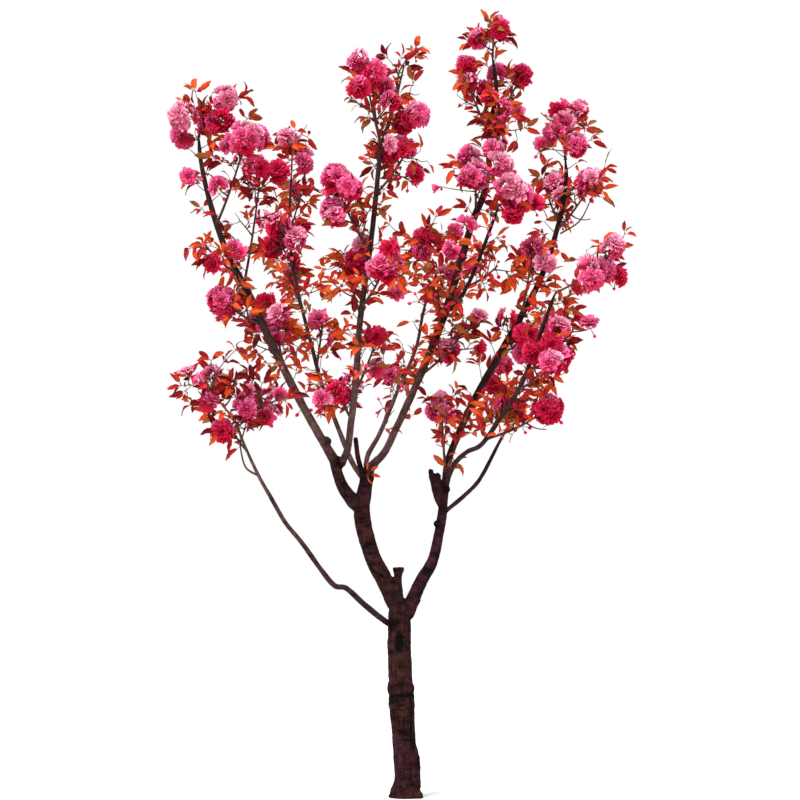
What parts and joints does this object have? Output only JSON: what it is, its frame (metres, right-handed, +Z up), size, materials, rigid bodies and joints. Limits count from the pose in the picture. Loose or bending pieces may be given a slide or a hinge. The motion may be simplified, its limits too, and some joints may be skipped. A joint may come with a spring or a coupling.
{
  "type": "flowering cherry tree",
  "caption": "Young flowering cherry tree cut flat at the ground, with a low fork, upright boughs and sprays of full pink blossom among bronze young leaves.",
  "frame": {"origin": "centre of the flat cut under the trunk, at ground level", "axes": "+Z up, +X to the viewer's right in the picture, +Y away from the viewer"},
  "size_m": [1.3441, 1.1935, 2.422],
  "materials": {
    "bark": "dark maroon-brown bark with level bands and knots",
    "blossom": "matt deep pink petals with paler rims",
    "young_leaf": "satin bronze-red young leaf"
  },
  "bodies": {
    "root": {"trunk": "bark", "left_bough": "bark", "right_bough": "bark", "far_left_bough": "bark", "tall_bough": "bark", "upright_bough": "bark", "inner_left_bough": "bark", "cut_spur": "bark", "slender_bough": "bark", "tall_bough_fork": "bark", "far_right_bough": "bark", "broken_stub": "bark", "right_side_bough": "bark", "low_right_bough": "bark", "low_left_bough": "bark", "far_left_mass_1": "blossom", "far_left_mass_2": "blossom", "far_left_mass_3": "young_leaf", "far_left_mass_4": "blossom", "far_left_mass_5": "blossom", "far_left_mass_6": "blossom", "inner_left_mass_1": "blossom", "inner_left_mass_2": "young_leaf", "inner_left_mass_3": "blossom", "inner_left_mass_4": "young_leaf", "inner_left_mass_5": "young_leaf", "upright_mass_1": "young_leaf", "upright_mass_2": "blossom", "upright_mass_3": "blossom", "upright_mass_4": "blossom", "upright_mass_5": "blossom", "upright_mass_6": "blossom", "upright_mass_7": "blossom", "upright_mass_8": "young_leaf", "slender_mass_1": "blossom", "slender_mass_2": "young_leaf", "tall_mass_1": "blossom", "tall_mass_2": "young_leaf", "tall_mass_3": "blossom", "tall_mass_4": "young_leaf", "tall_mass_5": "young_leaf", "tall_mass_6": "blossom", "tall_mass_7": "blossom", "tall_fork_mass_1": "blossom", "tall_fork_mass_2": "young_leaf", "far_right_mass_1": "blossom", "far_right_mass_2": "blossom", "far_right_mass_3": "blossom", "far_right_mass_4": "blossom", "far_right_mass_5": "blossom", "far_right_mass_6": "blossom", "right_side_mass_1": "blossom", "right_side_mass_2": "blossom", "right_side_mass_3": "blossom", "right_side_mass_4": "blossom", "right_side_mass_5": "young_leaf", "low_right_mass_1": "young_leaf", "low_left_mass_1": "blossom", "low_left_mass_2": "blossom", "low_left_mass_3": "blossom"}
  },
  "joints": []
}
